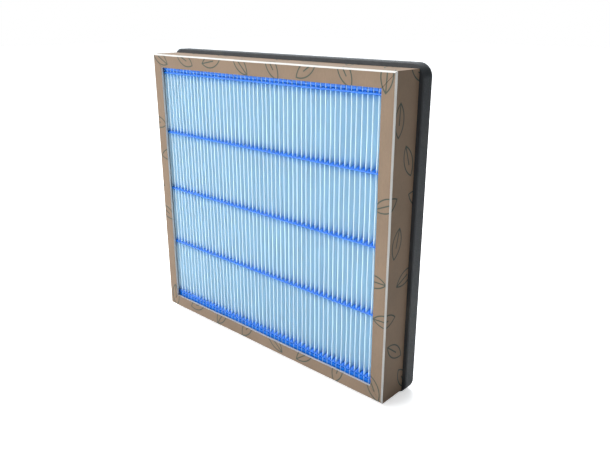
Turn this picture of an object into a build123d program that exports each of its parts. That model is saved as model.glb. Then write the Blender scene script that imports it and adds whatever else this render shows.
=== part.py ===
"""Pleated panel air filter: a mitred board frame, a glued mini pleat pack and a moulded rear gasket.

Millimetres. The inlet face looks along -Y, +Z is up, and the origin is at the middle of the
underside of the whole filter.
"""

import math
import os

from build123d import *

# Board frame, folded from solid board into four channels
box_width = 300.0
box_height = 280.0
box_depth = 40.0
board = 2.0
front_border = 13.0
rear_border = 13.0
score_bevel = 1.3
mitre_gap = 0.3

# Moulded gasket, stretched over the rear rim of the frame
gasket_depth = 14.0
gasket_proud = 4.0
gasket_back = 4.0
gasket_lip = 13.0
gasket_corner_radius = 11.0
gasket_rear_round = 3.0
gasket_lip_chamfer = 1.0
gasket_front_chamfer = 0.8

# Folded filter paper
pleat_pitch = 5.3
sheet = 0.45
fold_width = 1.1
pack_recess = 1.5
pack_side_room = 0.5

# Hot melt glue
bead_rows = 5
bead_margin = 5.0
bead_height = 2.0
bead_thickness = 1.2
fin_depth = 16.0
fin_clearance = 0.05
seal_bed = 3.0
potting_reach = 3.0

# Places along the depth
front_y = -(box_depth + gasket_back) / 2
rear_y = front_y + box_depth
gasket_rear_y = rear_y + gasket_back
tip_front = front_y + board + pack_recess
tip_back = rear_y - board - pack_recess

# Places up the height
box_bottom = gasket_proud
box_top = box_bottom + box_height
middle_z = box_bottom + box_height / 2
pack_bottom = box_bottom + board + seal_bed
pack_height = box_height - 2 * (board + seal_bed)

# The pack holds as many whole pleats as fit between the side walls
inner_width = box_width - 2 * board
pleat_count = math.floor((inner_width - 2 * pack_side_room) / pleat_pitch)
pack_width = pleat_count * pleat_pitch
outer_half = fold_width / 2
inner_half = outer_half - sheet
fin_half = pleat_pitch / 2 - outer_half - fin_clearance

depth_axis = Vector(0, 1, 0)
channel_section = [
    (0, score_bevel),
    (score_bevel, 0),
    (box_depth, 0),
    (box_depth, rear_border),
    (box_depth - board, rear_border),
    (box_depth - board, board),
    (board, board),
    (board, front_border),
    (0, front_border),
]

pieces = []


def frame_channel(label, middle, along, length):
    """One folded channel with its outer face through middle, its two ends mitred."""
    inward = along.cross(depth_axis)
    with BuildPart() as channel:
        with BuildSketch(Plane(origin=middle, x_dir=depth_axis, z_dir=along)):
            with BuildLine():
                Polyline(*channel_section, close=True)
            make_face()
        extrude(amount=length / 2, both=True)
        for end in (along, -along):
            corner = middle + end * (length / 2 - mitre_gap / math.sqrt(2))
            split(bisect_by=Plane(origin=corner, z_dir=end + inward), keep=Keep.BOTTOM)
    channel.part.label = label
    pieces.append(channel.part)


def fold_x(fold):
    """Place of a fold across the pack. Even folds are at the back, odd ones at the front."""
    return (fold - pleat_count) * pleat_pitch / 2


def pleat_line(front_half, front_tip, back_half, back_tip):
    """Points from left to right along one side of the folded sheet."""
    points = []
    for fold in range(2 * pleat_count + 1):
        if fold % 2:
            half, tip = front_half, front_tip
        else:
            half, tip = back_half, back_tip
        points.append((max(fold_x(fold) - half, -pack_width / 2), tip))
        points.append((min(fold_x(fold) + half, pack_width / 2), tip))
    return points


def glue_bead(label, tip, inward, valleys, height):
    """One strand of glue over the fold tips, with a fin that runs down into each valley."""
    strand = tip - inward * bead_thickness
    outline = [(-pack_width / 2, strand), (pack_width / 2, strand), (pack_width / 2, tip)]
    for fold in reversed(valleys):
        outline.append((fold_x(fold) + fin_half, tip))
        outline.append((fold_x(fold), tip + inward * fin_depth))
        outline.append((fold_x(fold) - fin_half, tip))
    outline.append((-pack_width / 2, tip))
    with BuildPart() as bead:
        with BuildSketch(Plane.XY.offset(height)):
            with BuildLine():
                Polyline(*outline, close=True)
            make_face()
        extrude(amount=bead_height / 2, both=True)
    bead.part.label = label
    pieces.append(bead.part)


def potting_seal(label, bed_outer, inward):
    """Bed of glue along the top or bottom channel, with potting that stands up in the valleys."""
    with BuildPart() as seal:
        with BuildSketch(Plane.XY.offset(bed_outer)):
            with Locations((0, (front_y + rear_y) / 2)):
                Rectangle(inner_width, box_depth - 2 * board)
        extrude(amount=inward * seal_bed)
        with BuildSketch(Plane.XY.offset(bed_outer + inward * seal_bed)):
            with Locations(*[(fold_x(fold), tip_front) for fold in front_valleys]):
                Polygon((fin_half, 0), (0, fin_depth), (-fin_half, 0), align=None)
        extrude(amount=inward * (front_border + potting_reach - board - seal_bed))
    seal.part.label = label
    pieces.append(seal.part)


def side_seal(label, side):
    """Strip of glue between the last pleat and one side wall."""
    strip_width = (inner_width - pack_width) / 2
    with BuildPart() as seal:
        with BuildSketch(Plane.XY.offset(pack_bottom)):
            with Locations((side * (inner_width - strip_width) / 2, (tip_front + tip_back) / 2)):
                Rectangle(strip_width, tip_back - tip_front)
        extrude(amount=pack_height)
    seal.part.label = label
    pieces.append(seal.part)


# Four mitred channels
frame_channel("frame_bottom", Vector(0, front_y, box_bottom), Vector(1, 0, 0), box_width)
frame_channel("frame_top", Vector(0, front_y, box_top), Vector(-1, 0, 0), box_width)
frame_channel("frame_left", Vector(-box_width / 2, front_y, middle_z), Vector(0, 0, -1), box_height)
frame_channel("frame_right", Vector(box_width / 2, front_y, middle_z), Vector(0, 0, 1), box_height)

# One sheet of filter paper, folded to and fro between the front and the rear tips
with BuildPart() as media_pack:
    front_side = pleat_line(outer_half, tip_front, inner_half, tip_back - sheet)
    back_side = pleat_line(inner_half, tip_front + sheet, outer_half, tip_back)
    with BuildSketch(Plane.XY.offset(pack_bottom)):
        with BuildLine():
            Polyline(*front_side, *reversed(back_side), close=True)
        make_face()
    extrude(amount=pack_height)
media_pack.part.label = "media_pack"
pieces.append(media_pack.part)

# Rows of glue beads on both faces of the pack
front_valleys = range(2, 2 * pleat_count, 2)
back_valleys = range(1, 2 * pleat_count, 2)
lowest_bead = box_bottom + front_border + bead_margin
bead_spacing = (box_height - 2 * (front_border + bead_margin)) / (bead_rows - 1)
for row in range(bead_rows):
    row_z = lowest_bead + row * bead_spacing
    glue_bead(f"front_bead_{row + 1}", tip_front, 1, front_valleys, row_z)
    glue_bead(f"back_bead_{row + 1}", tip_back, -1, back_valleys, row_z)

# Glue that seals the four edges of the pack into the channels
potting_seal("edge_seal_bottom", box_bottom + board, 1)
potting_seal("edge_seal_top", box_top - board, -1)
side_seal("edge_seal_left", -1)
side_seal("edge_seal_right", 1)

# Gasket: a moulded ring of L section that wraps the rear rim and covers the rear border
with BuildPart() as gasket:
    rear_plane = Plane(origin=(0, gasket_rear_y, middle_z), x_dir=(1, 0, 0), z_dir=(0, -1, 0))
    with BuildSketch(rear_plane):
        RectangleRounded(box_width + 2 * gasket_proud, box_height + 2 * gasket_proud, gasket_corner_radius)
        Rectangle(box_width - 2 * gasket_lip, box_height - 2 * gasket_lip, mode=Mode.SUBTRACT)
    extrude(amount=gasket_depth)
    with BuildSketch(rear_plane.offset(gasket_back)):
        Rectangle(box_width, box_height)
    extrude(amount=gasket_depth - gasket_back, mode=Mode.SUBTRACT)
    rear_face = gasket.faces().sort_by(Axis.Y)[-1]
    fillet(rear_face.outer_wire().edges(), gasket_rear_round)
    rear_face = gasket.faces().sort_by(Axis.Y)[-1]
    chamfer(rear_face.inner_wires()[0].edges(), gasket_lip_chamfer)
    front_face = gasket.faces().sort_by(Axis.Y)[0]
    chamfer(front_face.outer_wire().edges(), gasket_front_chamfer)
gasket.part.label = "gasket"
pieces.append(gasket.part)

os.makedirs("parts", exist_ok=True)
for piece in pieces:
    export_step(piece, f"parts/{piece.label}.step")
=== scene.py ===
"""Dresses a pleated panel air filter: board frame, pleated paper, glue lines, gasket and studio."""

import math
import random

import bpy
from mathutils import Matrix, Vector


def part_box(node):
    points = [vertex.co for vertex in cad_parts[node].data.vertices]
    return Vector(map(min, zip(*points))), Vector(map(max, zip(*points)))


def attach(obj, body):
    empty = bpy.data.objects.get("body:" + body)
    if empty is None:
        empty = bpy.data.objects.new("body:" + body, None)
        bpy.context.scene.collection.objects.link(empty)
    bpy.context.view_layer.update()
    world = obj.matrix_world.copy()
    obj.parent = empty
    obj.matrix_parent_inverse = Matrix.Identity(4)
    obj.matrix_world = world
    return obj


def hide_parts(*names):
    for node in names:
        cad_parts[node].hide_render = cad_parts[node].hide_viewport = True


bl_info = {
    "name": "Pleated Air Filter",
    "version": (1, 0, 0),
    "blender": (4, 5, 0),
    "location": "View3D > Sidebar > Air Filter",
    "description": "Builds the surfaces of a pleated panel air filter and a plain studio round it",
    "category": "Object",
}

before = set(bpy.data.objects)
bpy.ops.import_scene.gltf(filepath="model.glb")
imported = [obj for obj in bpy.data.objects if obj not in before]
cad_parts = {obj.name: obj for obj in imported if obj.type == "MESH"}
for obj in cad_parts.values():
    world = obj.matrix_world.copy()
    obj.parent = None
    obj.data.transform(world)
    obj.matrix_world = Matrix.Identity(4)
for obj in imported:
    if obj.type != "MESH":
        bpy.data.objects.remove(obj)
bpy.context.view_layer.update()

MM = 0.001
ROOT = "root"

# Places of the filter's pieces
PACK_LOW, PACK_HIGH = (Vector(corner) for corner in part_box("media_pack"))
TOP_LOW, TOP_HIGH = (Vector(corner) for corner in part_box("frame_top"))
BOTTOM_LOW, BOTTOM_HIGH = (Vector(corner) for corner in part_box("frame_bottom"))
LEFT_X = Vector(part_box("frame_left")[0]).x
RIGHT_X = Vector(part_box("frame_right")[1]).x
FRONT_Y = TOP_LOW.y
MIDDLE_Z = (BOTTOM_LOW.z + TOP_HIGH.z) / 2
PACK_HALF_WIDTH = (PACK_HIGH.x - PACK_LOW.x) / 2
PACK_DEPTH = PACK_HIGH.y - PACK_LOW.y
BEAD_NAMES = sorted(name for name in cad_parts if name.startswith("front_bead"))
BEAD_HEIGHTS = [(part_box(name)[0][2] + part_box(name)[1][2]) / 2 for name in BEAD_NAMES]
BEAD_SPACING = BEAD_HEIGHTS[1] - BEAD_HEIGHTS[0]

# How finely the meshes are divided
CHANNEL_STATIONS = 61
BOARD_FOLD_STEPS = 4
PAPER_ROWS = 54
PAPER_FOLD_STEPS = 6
STRAND_STEPS = 6
FIN_RINGS = 8
GLUE_SIDES = 8

# Seeds of the random draws
PAPER_SEED = 11
FIRST_BEAD_SEED = 100

# Colours painted on other surfaces: the glue's blue glow on the paper as painted light, the potting's blue
# with painted shade, and the dust on the gasket
PAINTED_GLOW_BLUE = (0.03, 0.38, 0.96)
POTTING_BLUE_AND_SHADE = (0.03, 0.22, 0.85)
DUST = (0.085, 0.074, 0.056)

# Sockets of a Mix node that mixes colours
MIX_FACTOR = 0
MIX_FIRST = 6
MIX_SECOND = 7
MIX_RESULT = 2


class FilterSizes(bpy.types.PropertyGroup):
    """Sizes of the filter's surfaces."""

    pleat_pitch: bpy.props.FloatProperty(
        name="Pleat Pitch", description="Distance from one front fold to the next",
        default=5.3 * MM, unit="LENGTH")
    sheet: bpy.props.FloatProperty(
        name="Paper", description="Thickness of the filter paper",
        default=0.42 * MM, unit="LENGTH")
    fold_radius: bpy.props.FloatProperty(
        name="Fold Radius", description="Radius at the middle of the folded paper",
        default=0.34 * MM, unit="LENGTH")
    pleat_sway: bpy.props.FloatProperty(
        name="Pleat Sway", description="How far a fold bows between two glue lines",
        default=0.42 * MM, unit="LENGTH")
    board: bpy.props.FloatProperty(
        name="Board", description="Thickness of the frame's board",
        default=2.0 * MM, unit="LENGTH")
    score_bevel: bpy.props.FloatProperty(
        name="Scored Edge", description="Leg of the scored front fold",
        default=1.3 * MM, unit="LENGTH")
    mitre_gap: bpy.props.FloatProperty(
        name="Mitre Gap", description="Gap between two channels at a corner",
        default=0.3 * MM, unit="LENGTH")
    bow: bpy.props.FloatProperty(
        name="Bow", description="How far the board bows out of true",
        default=0.35 * MM, unit="LENGTH")
    strand_radius: bpy.props.FloatProperty(
        name="Strand Radius", description="Half the height of a glue strand",
        default=0.7 * MM, unit="LENGTH")
    fin_depth: bpy.props.FloatProperty(
        name="Fin Depth", description="How deep the glue runs into a valley",
        default=16.0 * MM, unit="LENGTH")
    motif_length: bpy.props.FloatProperty(
        name="Leaf Length", description="Half the length of a printed leaf",
        default=13.0 * MM, unit="LENGTH")
    motif_width: bpy.props.FloatProperty(
        name="Leaf Width", description="Half the width of a printed leaf",
        default=5.6 * MM, unit="LENGTH")
    line_width: bpy.props.FloatProperty(
        name="Print Line", description="Width of a printed line",
        default=1.0 * MM, unit="LENGTH")


class FilterColours(bpy.types.PropertyGroup):
    """Colours of the filter's surfaces."""

    kraft: bpy.props.FloatVectorProperty(
        name="Kraft", description="Face of the board",
        subtype="COLOR", default=(0.225, 0.152, 0.098))
    core: bpy.props.FloatVectorProperty(
        name="Core", description="Cut and scored edges of the board",
        subtype="COLOR", default=(0.60, 0.58, 0.55))
    ink: bpy.props.FloatVectorProperty(
        name="Ink", description="Lines printed on the board",
        subtype="COLOR", default=(0.018, 0.046, 0.036))
    # The paper's pale blue is painted light: the blue light that white paper takes from the glue and the
    # cool studio
    paper: bpy.props.FloatVectorProperty(
        name="Paper", description="Filter paper",
        subtype="COLOR", default=(0.56, 0.81, 1.0))
    # The lighter fold tip is a painted highlight
    tip: bpy.props.FloatVectorProperty(
        name="Fold Tip", description="Filter paper at a fold tip",
        subtype="COLOR", default=(0.64, 0.84, 0.99))
    glue: bpy.props.FloatVectorProperty(
        name="Glue", description="Hot melt glue",
        subtype="COLOR", default=(0.002, 0.15, 0.68))
    rubber: bpy.props.FloatVectorProperty(
        name="Gasket", description="Moulded gasket",
        subtype="COLOR", default=(0.021, 0.023, 0.026))
    floor: bpy.props.FloatVectorProperty(
        name="Floor", description="Studio floor",
        subtype="COLOR", default=(0.93, 0.93, 0.93))


class Shader:
    """Adds nodes to one node tree and links them in order of use."""

    def __init__(self, tree):
        self.tree = tree

    def feed(self, socket, value):
        """Links an output to a socket, or sets the socket's own value."""
        if isinstance(value, bpy.types.NodeSocket):
            self.tree.links.new(value, socket)
        elif socket.type == "RGBA":
            socket.default_value = (*value[:3], 1.0)
        else:
            socket.default_value = value

    def node(self, kind, inputs=(), **settings):
        """A node of that kind, with settings, and inputs as (socket, value) pairs."""
        made = self.tree.nodes.new(kind)
        for key, value in settings.items():
            setattr(made, key, value)
        for key, value in inputs:
            self.feed(made.inputs[key], value)
        return made

    def math(self, operation, *values):
        """The result of one sum on values or outputs."""
        return self.node("ShaderNodeMath", list(enumerate(values)), operation=operation).outputs[0]

    def ramp(self, value, low, high, start=0.0, end=1.0):
        """Maps value smoothly from low to high onto start to end."""
        pairs = (("Value", value), ("From Min", low), ("From Max", high), ("To Min", start), ("To Max", end))
        made = self.node("ShaderNodeMapRange", pairs, interpolation_type="SMOOTHSTEP")
        return made.outputs["Result"]

    def mix(self, factor, first, second):
        """Mixes the second colour into the first by a factor."""
        made = self.node("ShaderNodeMix", data_type="RGBA")
        self.feed(made.inputs[MIX_FACTOR], factor)
        self.feed(made.inputs[MIX_FIRST], first)
        self.feed(made.inputs[MIX_SECOND], second)
        return made.outputs[MIX_RESULT]

    def noise(self, where, scale, detail, roughness=0.55):
        """Smooth noise from 0 to 1."""
        pairs = (("Vector", where), ("Scale", scale), ("Detail", detail), ("Roughness", roughness))
        return self.node("ShaderNodeTexNoise", pairs).outputs["Fac"]

    def split(self, vector):
        """The three parts of a vector."""
        made = self.node("ShaderNodeSeparateXYZ", [(0, vector)])
        return made.outputs[0], made.outputs[1], made.outputs[2]

    def place(self, output="Object"):
        """Where the shaded point is, or another output of the coordinates."""
        return self.node("ShaderNodeTexCoord").outputs[output]


def surface_group():
    """Node group: a colour with an uneven tone and fine grain, and the grain's height."""
    group = bpy.data.node_groups.new("uneven_surface", "ShaderNodeTree")
    for name, kind in (("Color", "Color"), ("Patch Scale", "Float"), ("Grain Scale", "Float"),
                       ("Patch", "Float"), ("Grain", "Float"), ("Stretch", "Vector")):
        group.interface.new_socket(name, in_out="INPUT", socket_type="NodeSocket" + kind)
    group.interface.new_socket("Color", in_out="OUTPUT", socket_type="NodeSocketColor")
    group.interface.new_socket("Height", in_out="OUTPUT", socket_type="NodeSocketFloat")
    shader = Shader(group)
    given = shader.node("NodeGroupInput").outputs
    pairs = [(0, shader.place()), (1, given["Stretch"])]
    where = shader.node("ShaderNodeVectorMath", pairs, operation="MULTIPLY")
    patch = shader.noise(shader.place(), given["Patch Scale"], detail=2.0)
    grain = shader.noise(where.outputs[0], given["Grain Scale"], detail=4.0, roughness=0.7)
    patch_tone = shader.math("MULTIPLY", shader.math("SUBTRACT", patch, 0.5), given["Patch"])
    grain_tone = shader.math("MULTIPLY", shader.math("SUBTRACT", grain, 0.5), given["Grain"])
    tone = shader.math("ADD", 1.0, shader.math("ADD", patch_tone, grain_tone))
    scaled = shader.node("ShaderNodeVectorMath", [(0, given["Color"])], operation="SCALE")
    shader.feed(scaled.inputs["Scale"], tone)
    result = shader.node("NodeGroupOutput")
    shader.feed(result.inputs["Color"], scaled.outputs[0])
    shader.feed(result.inputs["Height"], grain)


def uneven(shader, colour, patch_scale, grain_scale, patch, grain, stretch=(1.0, 1.0, 1.0)):
    """Places the shared surface group with its own values and returns its colour and height."""
    made = shader.node("ShaderNodeGroup", node_tree=bpy.data.node_groups["uneven_surface"])
    values = {"Color": colour, "Patch Scale": patch_scale, "Grain Scale": grain_scale,
              "Patch": patch, "Grain": grain, "Stretch": stretch}
    for name, value in values.items():
        shader.feed(made.inputs[name], value)
    return made.outputs["Color"], made.outputs["Height"]


def new_material(name, roughness):
    """A new material, with what adds its nodes and its surface shader."""
    material = bpy.data.materials.new(name)
    material.use_nodes = True
    surface = material.node_tree.nodes["Principled BSDF"]
    surface.inputs["Roughness"].default_value = roughness
    return material, Shader(material.node_tree), surface


def add_bump(shader, surface, height, strength, distance):
    """Roughens a surface by a height."""
    pairs = [("Height", height), ("Strength", strength), ("Distance", distance)]
    shader.feed(surface.inputs["Normal"], shader.node("ShaderNodeBump", pairs).outputs[0])


def leaf_print(shader, sizes):
    """Mask of the printed leaves: outlined leaves in staggered rows, carried on over the folds."""
    cell_width = 40 * MM
    cell_height = 33 * MM
    row_shift = 0.37
    facing = 0.8
    x, y, z = shader.split(shader.place())
    normal_x, _, normal_z = shader.split(shader.place("Normal"))
    # On the outer sides the print goes on from the front face, over the fold
    depth = shader.math("SUBTRACT", y, FRONT_Y)
    on_side = shader.math("GREATER_THAN", shader.math("ABSOLUTE", normal_x), facing)
    on_top = shader.math("GREATER_THAN", shader.math("ABSOLUTE", normal_z), facing)
    reach_x = shader.math("MULTIPLY", shader.math("MULTIPLY", depth, on_side), shader.math("SIGN", x))
    above = shader.math("SIGN", shader.math("SUBTRACT", z, MIDDLE_Z))
    reach_z = shader.math("MULTIPLY", shader.math("MULTIPLY", depth, on_top), above)
    # Each leaf has a cell of its own and a turn by chance
    across = shader.math("DIVIDE", shader.math("ADD", x, reach_x), cell_width)
    up = shader.math("DIVIDE", shader.math("ADD", z, reach_z), cell_height)
    row = shader.math("FLOOR", up)
    shifted = shader.math("ADD", across, shader.math("MULTIPLY", row, row_shift))
    column = shader.math("FLOOR", shifted)
    off_x = shader.math("SUBTRACT", shader.math("FRACT", shifted), 0.5)
    off_z = shader.math("SUBTRACT", shader.math("FRACT", up), 0.5)
    local_x = shader.math("MULTIPLY", off_x, cell_width)
    local_z = shader.math("MULTIPLY", off_z, cell_height)
    cell = shader.node("ShaderNodeCombineXYZ", [(0, row), (1, column)]).outputs[0]
    chance = shader.node("ShaderNodeTexWhiteNoise", [("Vector", cell)], noise_dimensions="2D")
    spot = shader.node("ShaderNodeCombineXYZ", [(0, local_x), (1, local_z)]).outputs[0]
    turned = shader.node("ShaderNodeVectorRotate", [("Vector", spot)], rotation_type="Z_AXIS")
    shader.feed(turned.inputs["Angle"], shader.math("MULTIPLY", chance.outputs["Value"], math.tau))
    # A leaf is the lens between two circles
    offset = (sizes.motif_length ** 2 - sizes.motif_width ** 2) / (2 * sizes.motif_width)
    radius = offset + sizes.motif_width
    distances = []
    for side in (-1, 1):
        moved = shader.node("ShaderNodeVectorMath", [(0, turned.outputs[0]), (1, (side * offset, 0, 0))])
        length = shader.node("ShaderNodeVectorMath", [(0, moved.outputs[0])], operation="LENGTH")
        distances.append(length.outputs["Value"])
    lens = shader.math("SUBTRACT", shader.math("MAXIMUM", *distances), radius)
    # Its stem is a straight line on its middle
    stem_drop = 5 * MM
    stem_half = 8 * MM
    turned_x, turned_y, _ = shader.split(turned.outputs[0])
    along_stem = shader.math("ABSOLUTE", shader.math("ADD", turned_y, stem_drop))
    stem_end = shader.math("SUBTRACT", along_stem, stem_half)
    stem = shader.math("MAXIMUM", shader.math("ABSOLUTE", turned_x), stem_end)
    line = shader.math("MINIMUM", shader.math("ABSOLUTE", lens), stem)
    return shader.ramp(line, low=0.35 * sizes.line_width, high=0.75 * sizes.line_width, start=1.0, end=0.0)


def kraft_material(sizes, colours):
    """Kraft board face with fibres and a sparse dark green leaf print."""
    ink_strength = 0.86
    material, shader, surface = new_material("kraft_board", roughness=0.78)
    colour, height = uneven(shader, colours.kraft, patch_scale=28.0, grain_scale=900.0,
                            patch=0.32, grain=0.28, stretch=(1.0, 1.0, 0.35))
    printed = shader.math("MULTIPLY", leaf_print(shader, sizes), ink_strength)
    shader.feed(surface.inputs["Base Color"], shader.mix(printed, colour, colours.ink))
    add_bump(shader, surface, height, strength=0.25, distance=0.15 * MM)
    return material


def core_material(colours):
    """Pale pressed core of the board, seen on its cut and scored edges."""
    material, shader, surface = new_material("board_core", roughness=0.85)
    colour, height = uneven(shader, colours.core, patch_scale=60.0, grain_scale=1500.0,
                            patch=0.22, grain=0.22)
    shader.feed(surface.inputs["Base Color"], colour)
    add_bump(shader, surface, height, strength=0.3, distance=0.1 * MM)
    return material


def painted_glue_glow(shader, depth, z):
    """How much painted blue glow from the glue the paper takes near a bead, further above it in a deep
    valley than at a tip.
    """
    reach_above = 5 * MM
    reach_below = 7 * MM
    climb = 1.1
    strength = 0.62
    rows = shader.math("DIVIDE", shader.math("SUBTRACT", z, BEAD_HEIGHTS[0]), BEAD_SPACING)
    nearest = shader.math("SUBTRACT", rows, shader.math("ROUND", rows))
    away = shader.math("MULTIPLY", nearest, BEAD_SPACING)
    rise = shader.math("ADD", reach_above, shader.math("MULTIPLY", depth, climb))
    above = shader.math("DIVIDE", away, rise)
    below = shader.math("DIVIDE", away, -reach_below)
    fade = shader.ramp(shader.math("MAXIMUM", above, below), low=0.0, high=1.35, start=1.0, end=0.0)
    return shader.math("MULTIPLY", shader.math("POWER", fade, 1.8), strength)


def paper_material(colours):
    """White filter paper painted pale blue as the blue light it takes from the glue and the cool studio,
    painted lighter at its fold tips as a highlight, and painted with the glue's blue glow beside each bead.
    """
    material, shader, surface = new_material("filter_paper", roughness=0.8)
    _, y, z = shader.split(shader.place())
    behind_front = shader.math("SUBTRACT", y, PACK_LOW.y)
    before_rear = shader.math("SUBTRACT", PACK_HIGH.y, y)
    depth = shader.math("MINIMUM", behind_front, before_rear)
    # Painted highlight: the paper turns lighter near each fold tip
    tip = shader.ramp(depth, low=0.2 * MM, high=1.3 * MM, start=1.0, end=0.0)
    colour, height = uneven(shader, shader.mix(tip, colours.paper, colours.tip), patch_scale=45.0,
                            grain_scale=1100.0, patch=0.10, grain=0.12)
    # Painted light: the glue's blue glow on the paper near each bead
    with_glue_glow = shader.mix(painted_glue_glow(shader, depth, z), colour, PAINTED_GLOW_BLUE)
    # The ends of the pleats are tinted by the potting's blue behind the border and darkened there as painted
    # shade
    from_middle = shader.math("ABSOLUTE", shader.math("SUBTRACT", z, MIDDLE_Z))
    edge = shader.math("SUBTRACT", MIDDLE_Z - BOTTOM_HIGH.z, from_middle)
    potting_and_shade = shader.ramp(edge, low=0.0, high=6 * MM, start=0.6, end=0.0)
    shader.feed(surface.inputs["Base Color"], shader.mix(potting_and_shade, with_glue_glow, POTTING_BLUE_AND_SHADE))
    surface.inputs["Subsurface Weight"].default_value = 0.55
    surface.inputs["Subsurface Scale"].default_value = 3 * MM
    surface.inputs["Subsurface Radius"].default_value = (0.8, 0.9, 1.0)
    add_bump(shader, surface, height, strength=0.2, distance=0.1 * MM)
    return material


def glue_material(colours):
    """Vivid blue hot melt glue, smooth and slightly uneven."""
    material, shader, surface = new_material("hot_melt_glue", roughness=0.32)
    colour, height = uneven(shader, colours.glue, patch_scale=180.0, grain_scale=700.0,
                            patch=0.5, grain=0.25)
    shader.feed(surface.inputs["Base Color"], colour)
    surface.inputs["IOR"].default_value = 1.48
    add_bump(shader, surface, height, strength=0.2, distance=0.15 * MM)
    return material


def rubber_material(colours):
    """Matt black moulded rubber with faint dust and an uneven gloss."""
    material, shader, surface = new_material("gasket_rubber", roughness=0.6)
    colour, height = uneven(shader, colours.rubber, patch_scale=14.0, grain_scale=800.0,
                            patch=0.5, grain=0.5)
    patches = shader.noise(shader.place(), scale=22.0, detail=5.0, roughness=0.65)
    dust = shader.ramp(patches, low=0.5, high=0.72, start=0.0, end=0.32)
    shader.feed(surface.inputs["Base Color"], shader.mix(dust, colour, DUST))
    shader.feed(surface.inputs["Roughness"], shader.ramp(height, low=0.3, high=0.7, start=0.5, end=0.72))
    add_bump(shader, surface, height, strength=0.3, distance=0.12 * MM)
    return material


def mesh_piece(name, points, faces, materials, indices=None, smooth=False):
    """A new mesh object from points and faces, and a material index for each face where given."""
    mesh = bpy.data.meshes.new(name)
    mesh.from_pydata([tuple(point) for point in points], [], faces)
    for material in materials:
        mesh.materials.append(material)
    if indices:
        mesh.polygons.foreach_set("material_index", indices)
    mesh.polygons.foreach_set("use_smooth", [smooth] * len(mesh.polygons))
    mesh.update()
    piece = bpy.data.objects.new(name, mesh)
    bpy.context.scene.collection.objects.link(piece)
    return piece


def fix_to_root(piece, slot, *nodes):
    """The piece rides on the only body and stands for its CAD nodes. The slot argument is not used."""
    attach(piece, ROOT)
    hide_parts(*nodes)


def finish_node(name, material):
    """Gives one CAD node its material."""
    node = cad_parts[name]
    if not node.material_slots:
        node.data.materials.append(material)
    for slot in node.material_slots:
        slot.material = material


def tube_faces(rings, sides):
    """Faces of a closed tube of rings with that many sides each, with both ends capped."""
    faces = []
    for ring in range(rings - 1):
        for side in range(sides):
            after = (side + 1) % sides
            first = ring * sides
            second = first + sides
            faces.append((first + side, first + after, second + after, second + side))
    faces.append(tuple(reversed(range(sides))))
    faces.append(tuple(range((rings - 1) * sides, rings * sides)))
    return faces


def channel_section(sizes, depth, border):
    """Points (depth, inward) round the channel's section, with the material of the edge after each."""
    kraft = 0
    core = 1
    bevel = sizes.score_bevel
    board = sizes.board
    fold = 1.2 * MM
    points = [((0, bevel), core), ((bevel, 0), kraft)]
    for step in range(BOARD_FOLD_STEPS + 1):
        angle = math.radians(90 * step / BOARD_FOLD_STEPS)
        points.append(((depth - fold + fold * math.sin(angle), fold - fold * math.cos(angle)), kraft))
    points += [((depth, border), core), ((depth - board, border), kraft), ((depth - board, board), kraft),
               ((board, board), kraft), ((board, border), core), ((0, border), kraft)]
    return points


def ripple(share, slow, fast, phases):
    """A slow and a fast wave along a channel, together no more than 1 either way."""
    slow_part = 0.6
    fast_part = 0.4
    return slow_part * math.sin(slow * share + phases[0]) + fast_part * math.sin(fast * share + phases[1])


def build_channel(name, middle, along, length, sizes, materials, seed):
    """One folded board channel, mitred at its ends and bowed a little along its length."""
    side_bow = 0.6
    dice = random.Random(seed)
    phases = [dice.uniform(0, math.tau) for _ in range(4)]
    inward = along.cross(Vector((0, 1, 0)))
    border = TOP_HIGH.z - TOP_LOW.z
    section = channel_section(sizes, TOP_HIGH.y - TOP_LOW.y, border)
    points = []
    for station in range(CHANNEL_STATIONS):
        share = 2 * station / (CHANNEL_STATIONS - 1) - 1
        # The ends stay true, so the mitres meet
        calm = 1 - share ** 6
        pull = sizes.bow * calm * abs(ripple(share, 2.3, 7.1, phases[:2])) * side_bow
        lift = sizes.bow * calm * abs(ripple(share, 3.1, 9.3, phases[2:]))
        for (deep, inner), _ in section:
            reach = length / 2 - inner - sizes.mitre_gap / math.sqrt(2)
            on_front = deep < 1.5 * sizes.board
            sink = lift * (inner / border) if on_front else 0
            spot = middle + along * (share * reach) + inward * (inner + pull)
            points.append(spot + Vector((0, deep + sink, 0)))
    faces = tube_faces(CHANNEL_STATIONS, len(section))
    # The two end caps are kraft
    indices = [material for _, material in section] * (CHANNEL_STATIONS - 1) + [0, 0]
    piece = mesh_piece(name + "_board", points, faces, materials, indices)
    fix_to_root(piece, "board", name)


def zigzag(sizes, fold_count):
    """Middle line of the folded sheet as (x, y, fold number), from left to right."""
    radius = sizes.fold_radius
    clear = radius + sizes.sheet / 2
    half_turn = PAPER_FOLD_STEPS // 2
    line = []
    for fold in range(fold_count):
        x = fold * sizes.pleat_pitch / 2 - PACK_HALF_WIDTH
        front = fold % 2 == 1
        centre_y = PACK_LOW.y + clear if front else PACK_HIGH.y - clear
        facing = -1 if front else 1
        # The first and the last fold are only half a turn
        start = half_turn if fold == 0 else 0
        end = half_turn if fold == fold_count - 1 else PAPER_FOLD_STEPS
        for step in range(start, end + 1):
            angle = math.radians(180 * step / PAPER_FOLD_STEPS - 90)
            line.append((x + radius * math.sin(angle), centre_y + facing * radius * math.cos(angle), fold))
    return line


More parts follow.
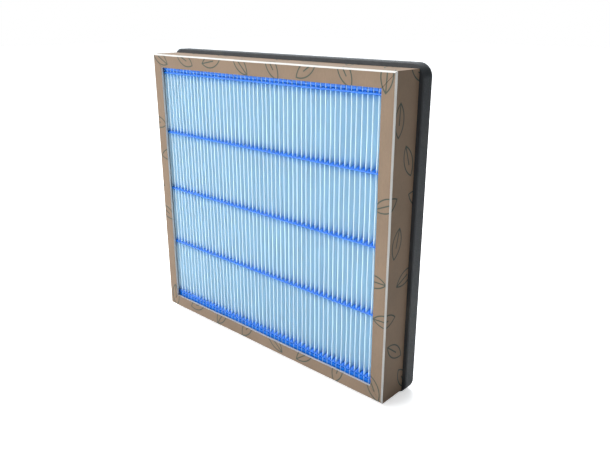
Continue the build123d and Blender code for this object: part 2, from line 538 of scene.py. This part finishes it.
def build_paper(sizes, materials):
    """The folded sheet, with each fold bowed a little between two glue lines."""
    tip_dip = 0.5
    dice = random.Random(PAPER_SEED)
    fold_count = round(4 * PACK_HALF_WIDTH / sizes.pleat_pitch) + 1
    line = zigzag(sizes, fold_count)
    spans = len(BEAD_HEIGHTS) + 1
    sways = [[dice.uniform(-1, 1) for _ in range(spans)] for _ in range(fold_count)]
    points = []
    for row in range(PAPER_ROWS + 1):
        z = PACK_LOW.z + (PACK_HIGH.z - PACK_LOW.z) * row / PAPER_ROWS
        place = (z - BEAD_HEIGHTS[0]) / BEAD_SPACING + 1
        span = min(max(int(place), 0), spans - 1)
        swell = math.sin(math.pi * (place - span)) if 0 < place < spans else 0
        for x, y, fold in line:
            inside = 0 < fold < fold_count - 1
            sway = sizes.pleat_sway * swell * sways[fold][span] * inside
            inward = 1 if fold % 2 else -1
            points.append((x + sway, y + abs(sway) * tip_dip * inward, z))
    across = len(line)
    faces = []
    for row in range(PAPER_ROWS):
        for column in range(across - 1):
            start = row * across + column
            faces.append((start, start + 1, start + across + 1, start + across))
    piece = mesh_piece("folded_paper", points, faces, materials, smooth=True)
    solid = piece.modifiers.new("paper_thickness", "SOLIDIFY")
    solid.thickness = sizes.sheet
    solid.offset = 0
    fix_to_root(piece, "filter_paper", "media_pack")


def strand_rings(sizes, tip, inward, first_valley, count, height, dice):
    """Rings of the strand that runs over the fold tips and sags a little between them."""
    end = PACK_HALF_WIDTH - 0.3 * MM
    flatness = 0.52
    sag = 0.25 * MM
    wobble = 0.12 * MM
    stand_off = 0.55 * MM
    dip = 0.3 * MM
    rings = []
    for step in range(count + 1):
        x = -end + 2 * end * step / count
        # 1 over the middle of a valley, 0 over a fold tip
        gap = 0.5 + 0.5 * math.cos(math.tau * (x - first_valley) / sizes.pleat_pitch)
        radius = sizes.strand_radius * (0.92 + 0.16 * dice.random() + 0.12 * gap)
        z = height + (wobble * dice.uniform(-1, 1) - sag * gap)
        y = tip - inward * (stand_off - dip * gap)
        ring = []
        for side in range(GLUE_SIDES):
            angle = math.tau * side / GLUE_SIDES
            ring.append((x, y + flatness * radius * math.sin(angle), z + radius * math.cos(angle)))
        rings.append(ring)
    return rings


def fin_rings(sizes, tip, inward, x, height, dice):
    """Rings of one fin of glue, from the strand down into its valley, with a hump on its way."""
    clearance = 0.2 * MM
    valley_taper = 0.93
    end_taper = 0.95
    start_height = 0.9 * MM
    hump = 3.9 * MM
    rings = []
    gap = sizes.pleat_pitch / 2 - sizes.fold_radius - sizes.sheet / 2
    depth = sizes.fin_depth * dice.uniform(0.86, 1.0)
    rise = dice.uniform(0.75, 1.1)
    for step in range(FIN_RINGS):
        share = step / (FIN_RINGS - 1)
        # The first ring lies inside the strand
        deep = depth * share if step else -0.2 * MM
        room = gap * (1 - max(deep, 0) / PACK_DEPTH * valley_taper) - clearance
        half = room * (1 - share ** 3 * end_taper)
        swell = math.sin(math.pi * min(share * 1.25, 1)) ** 1.2
        top = (start_height + hump * rise * swell) * (1 - share * 0.4)
        low = start_height * (1 - share * 0.8)
        y = tip + inward * deep
        ring = []
        for side in range(GLUE_SIDES):
            angle = math.tau * side / GLUE_SIDES
            tall = top if math.cos(angle) > 0 else low
            bulge = 1 - 0.25 * abs(math.cos(angle)) * share
            ring.append((x + half * math.sin(angle) * bulge, y, height + tall * math.cos(angle)))
        rings.append(ring)
    return rings


def build_bead(name, sizes, materials, seed):
    """One glue line: a strand over the fold tips and a fin in each valley."""
    dice = random.Random(seed)
    low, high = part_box(name)
    height = (low[2] + high[2]) / 2
    pitch = sizes.pleat_pitch
    pleats = round(2 * PACK_HALF_WIDTH / pitch)
    if name.startswith("front"):
        tip, inward, first, valleys = PACK_LOW.y, 1, pitch, pleats - 1
    else:
        tip, inward, first, valleys = PACK_HIGH.y, -1, pitch / 2, pleats
    centres = [first + valley * pitch - PACK_HALF_WIDTH for valley in range(valleys)]
    count = (valleys + 1) * STRAND_STEPS
    shapes = [strand_rings(sizes, tip, inward, centres[0], count, height, dice)]
    shapes += [fin_rings(sizes, tip, inward, x, height, dice) for x in centres]
    points = []
    faces = []
    for rings in shapes:
        start = len(points)
        points += [point for ring in rings for point in ring]
        faces += [tuple(start + corner for corner in face) for face in tube_faces(len(rings), GLUE_SIDES)]
    piece = mesh_piece(name + "_glue", points, faces, materials, smooth=True)
    fix_to_root(piece, "glue", name)


def build_floor(colours):
    """A wide pale floor under the filter."""
    reach = 6.0
    glow = 0.62
    material, shader, surface = new_material("studio_floor", roughness=0.9)
    colour, _ = uneven(shader, colours.floor, patch_scale=3.0, grain_scale=60.0, patch=0.01, grain=0.01)
    shader.feed(surface.inputs["Base Color"], colour)
    # Only the camera sees this glow, so it adds no light to the filter
    seen = shader.node("ShaderNodeLightPath").outputs["Is Camera Ray"]
    surface.inputs["Emission Color"].default_value = (1.0, 1.0, 1.0, 1.0)
    shader.feed(surface.inputs["Emission Strength"], shader.math("MULTIPLY", seen, glow))
    corners = [(-reach, -reach, 0), (reach, -reach, 0), (reach, reach, 0), (-reach, reach, 0)]
    mesh_piece("studio_floor", corners, [(0, 1, 2, 3)], [material])


def build_world():
    """White where the camera sees it, and otherwise a soft cool light that fades to the right."""
    cool = (0.86, 0.94, 1.0)
    white = (1.0, 1.0, 1.0)
    world = bpy.data.worlds.new("studio_world")
    world.use_nodes = True
    bpy.context.scene.world = world
    shader = Shader(world.node_tree)
    backdrop = world.node_tree.nodes["Background"]
    path = shader.node("ShaderNodeLightPath")
    seen = shader.math("MAXIMUM", path.outputs["Is Camera Ray"], path.outputs["Is Transmission Ray"])
    shader.feed(backdrop.inputs["Color"], shader.mix(seen, cool, white))
    # The studio is darker on the right, so the filter's right side falls into shade
    right, _, _ = shader.split(shader.place("Generated"))
    glow = shader.ramp(right, low=-0.55, high=0.5, start=1.4, end=0.02)
    lit = shader.math("MULTIPLY", glow, shader.math("SUBTRACT", 1.0, seen))
    shader.feed(backdrop.inputs["Strength"], shader.math("ADD", lit, seen))


def build_lamps():
    """A large soft lamp at the front left and a smaller one above."""
    aim = Vector((0, 0, MIDDLE_Z))
    lamps = (("key_lamp", (-1.0, -1.8, 1.0), 1.4, 36.0), ("top_lamp", (-0.5, 0.4, 1.9), 1.0, 34.0))
    for name, place, size, power in lamps:
        light = bpy.data.lights.new(name, "AREA")
        light.size = size
        light.energy = power
        lamp = bpy.data.objects.new(name, light)
        lamp.location = place
        lamp.rotation_euler = (aim - lamp.location).to_track_quat("-Z", "Y").to_euler()
        bpy.context.scene.collection.objects.link(lamp)


def build_camera():
    """The camera in front of the filter, to its right and a little above."""
    place = (0.41209, -0.40734, 0.32420)
    tilt = 71.24
    turn = 42.37
    camera = bpy.data.cameras.new("camera")
    camera.lens = 36.99
    camera.sensor_width = 36.0
    camera.clip_start = 0.01
    view = bpy.data.objects.new("camera", camera)
    view.location = place
    view.rotation_euler = (math.radians(tilt), 0.0, math.radians(turn))
    bpy.context.scene.collection.objects.link(view)
    bpy.context.scene.camera = view


class FILTER_OT_frame(bpy.types.Operator):
    """Build the four folded board channels"""

    bl_idname = "air_filter.frame"
    bl_label = "Board Frame"

    def execute(self, context):
        sizes = context.scene.filter_sizes
        colours = context.scene.filter_colours
        materials = [kraft_material(sizes, colours), core_material(colours)]
        width = 2 * RIGHT_X
        height = TOP_HIGH.z - BOTTOM_LOW.z
        # Name, middle of the outer front edge, direction, length and seed of each channel
        channels = (
            ("frame_bottom", (0, FRONT_Y, BOTTOM_LOW.z), (1, 0, 0), width, 3),
            ("frame_top", (0, FRONT_Y, TOP_HIGH.z), (-1, 0, 0), width, 5),
            ("frame_left", (LEFT_X, FRONT_Y, MIDDLE_Z), (0, 0, -1), height, 7),
            ("frame_right", (RIGHT_X, FRONT_Y, MIDDLE_Z), (0, 0, 1), height, 9),
        )
        for name, middle, along, length, seed in channels:
            build_channel(name, Vector(middle), Vector(along), length, sizes, materials, seed)
        return {"FINISHED"}


class FILTER_OT_paper(bpy.types.Operator):
    """Build the folded filter paper"""

    bl_idname = "air_filter.paper"
    bl_label = "Filter Paper"

    def execute(self, context):
        build_paper(context.scene.filter_sizes, [paper_material(context.scene.filter_colours)])
        return {"FINISHED"}


class FILTER_OT_glue(bpy.types.Operator):
    """Build the glue lines and finish the edge seals"""

    bl_idname = "air_filter.glue"
    bl_label = "Glue Lines"

    def execute(self, context):
        sizes = context.scene.filter_sizes
        material = glue_material(context.scene.filter_colours)
        for number, name in enumerate(sorted(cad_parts)):
            if "bead" in name:
                build_bead(name, sizes, [material], FIRST_BEAD_SEED + number)
            elif "seal" in name:
                finish_node(name, material)
        return {"FINISHED"}


class FILTER_OT_gasket(bpy.types.Operator):
    """Finish the moulded gasket"""

    bl_idname = "air_filter.gasket"
    bl_label = "Gasket"

    def execute(self, context):
        finish_node("gasket", rubber_material(context.scene.filter_colours))
        return {"FINISHED"}


class FILTER_OT_studio(bpy.types.Operator):
    """Add the floor, the lamps, the world and the camera"""

    bl_idname = "air_filter.studio"
    bl_label = "Studio"

    def execute(self, context):
        build_floor(context.scene.filter_colours)
        build_world()
        build_lamps()
        build_camera()
        context.scene.view_settings.view_transform = "Standard"
        return {"FINISHED"}


class FILTER_PT_sidebar(bpy.types.Panel):
    """Lists the filter's pieces, sizes and colours."""

    bl_label = "Air Filter"
    bl_idname = "FILTER_PT_sidebar"
    bl_space_type = "VIEW_3D"
    bl_region_type = "UI"
    bl_category = "Air Filter"

    def draw(self, context):
        for operator in OPERATORS:
            self.layout.operator(operator.bl_idname)
        for group in (context.scene.filter_sizes, context.scene.filter_colours):
            box = self.layout.box()
            for name in group.__annotations__:
                box.prop(group, name)


OPERATORS = (FILTER_OT_studio, FILTER_OT_frame, FILTER_OT_paper, FILTER_OT_glue, FILTER_OT_gasket)
CLASSES = (FilterSizes, FilterColours, *OPERATORS, FILTER_PT_sidebar)


def register():
    for item in CLASSES:
        bpy.utils.register_class(item)
    bpy.types.Scene.filter_sizes = bpy.props.PointerProperty(type=FilterSizes)
    bpy.types.Scene.filter_colours = bpy.props.PointerProperty(type=FilterColours)


def unregister():
    del bpy.types.Scene.filter_colours
    del bpy.types.Scene.filter_sizes
    for item in reversed(CLASSES):
        bpy.utils.unregister_class(item)


def main():
    """Builds the whole filter in its studio."""
    register()
    surface_group()
    bpy.ops.air_filter.studio()
    bpy.ops.air_filter.frame()
    bpy.ops.air_filter.paper()
    bpy.ops.air_filter.glue()
    bpy.ops.air_filter.gasket()


if __name__ == "__main__":
    main()
